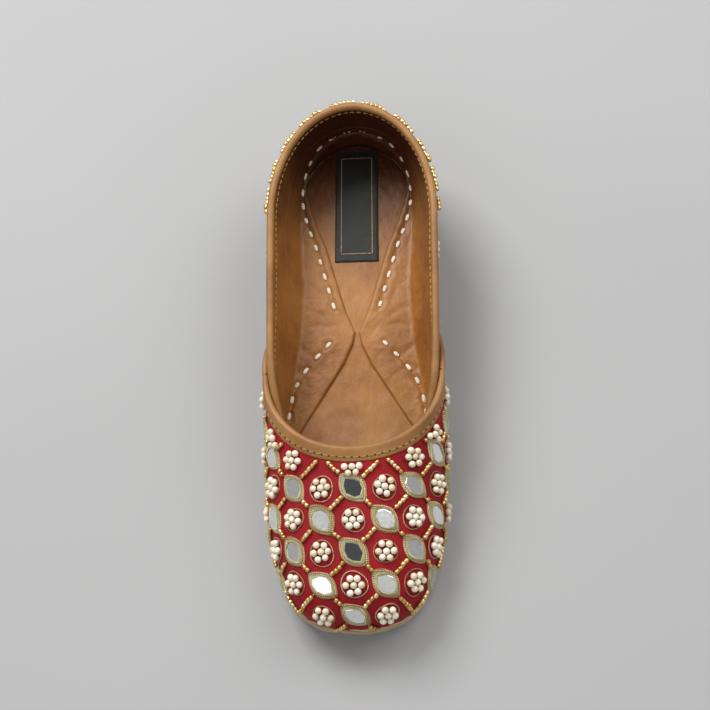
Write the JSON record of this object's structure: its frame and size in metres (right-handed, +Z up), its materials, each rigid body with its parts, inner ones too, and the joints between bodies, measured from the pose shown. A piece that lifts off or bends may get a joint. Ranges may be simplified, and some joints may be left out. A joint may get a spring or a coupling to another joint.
{
  "type": "mojari shoe",
  "caption": "Flat slip-on mojari shoe with a wide rounded toe, low open throat, flared heel quarter, bound toplines and a thin leather sole with a low heel lift.",
  "frame": {"origin": "on the floor, under the middle of the shoe's length and width", "axes": "+Z up from the floor, -Y toward the toe, +Y toward the heel, +X toward the right side seen from above with the heel at the top"},
  "size_m": [0.0818, 0.245, 0.0528],
  "materials": {
    "sole_leather": "raw pale vegetable-tanned leather",
    "midsole_leather": "brown sole leather with a cut edge",
    "lining_leather": "soft tan lining leather, satin",
    "binding_leather": "tan binding leather, satin",
    "red_cloth": "crimson satin-weave cloth",
    "thread": "waxed cotton thread",
    "gold_thread": "wound gold metallic thread and gold glass beads",
    "pearl": "imitation pearl beads",
    "mirror_glass": "small cut mirrors",
    "label_cloth": "black woven label, blank"
  },
  "bodies": {
    "root": {"heel_lift": "sole_leather", "outsole": "sole_leather", "midsole": "midsole_leather", "insole": "lining_leather", "upper": "red_cloth", "vamp_binding": "binding_leather", "quarter_binding": "binding_leather"}
  },
  "joints": []
}
